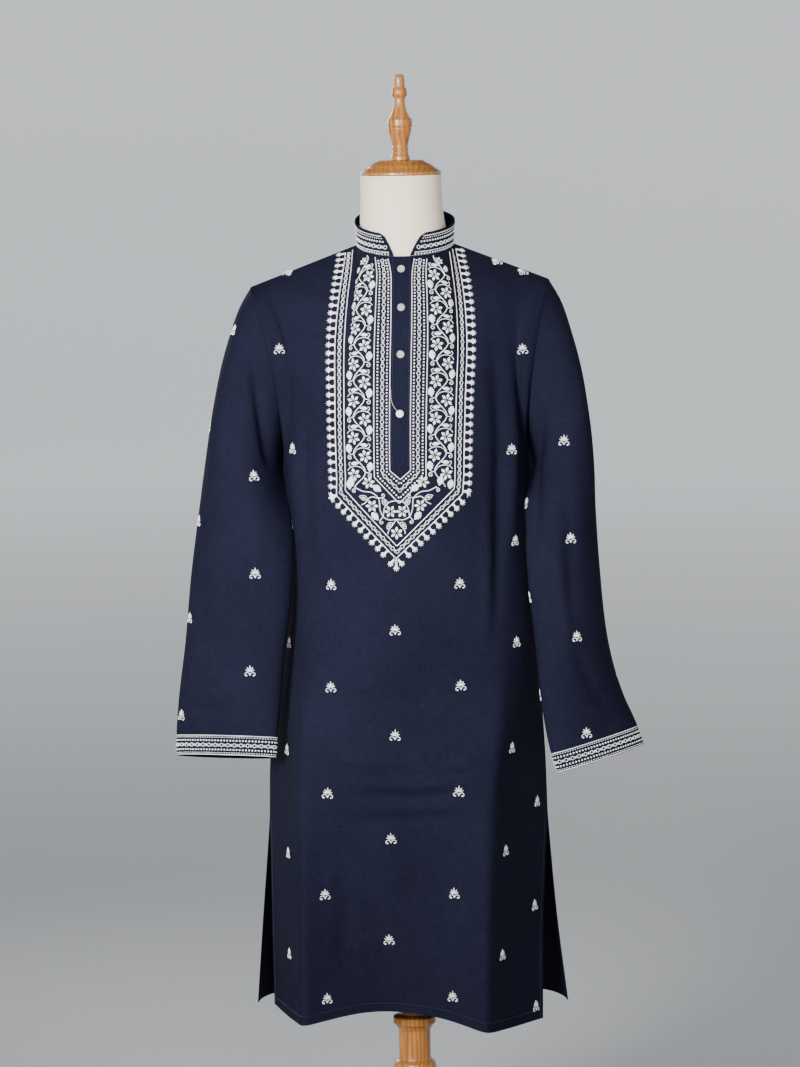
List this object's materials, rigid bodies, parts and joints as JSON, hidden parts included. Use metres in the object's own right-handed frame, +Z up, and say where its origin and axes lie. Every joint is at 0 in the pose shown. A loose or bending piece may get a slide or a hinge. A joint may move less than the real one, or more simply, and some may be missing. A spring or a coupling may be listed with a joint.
{
  "type": "long kurta on a limbless dress form with a wooden stand",
  "caption": "Long band-collar kurta with a buttoned half placket, long sleeves and side slits, worn by a limbless dress form on a turned wooden stand.",
  "frame": {"origin": "centre of the base's flat underside", "axes": "+Z up the pole, front of the kurta faces -Y, +X to the right of someone facing it"},
  "size_m": [0.6861, 0.38, 1.76],
  "materials": {
    "cloth": "matt slubbed plain weave with white embroidery",
    "buttons": "pearl, carved middle",
    "form_cover": "matt cream jersey",
    "wood": "honey varnish, glossy"
  },
  "bodies": {
    "root": {"front": "cloth", "back": "cloth", "sleeve_left": "cloth", "sleeve_right": "cloth", "collar": "cloth", "placket": "cloth", "button_1": "buttons", "button_2": "buttons", "button_3": "buttons", "button_4": "buttons", "form_torso": "form_cover", "neck_cap": "wood", "finial": "wood", "pole": "wood", "base": "wood"}
  },
  "joints": []
}
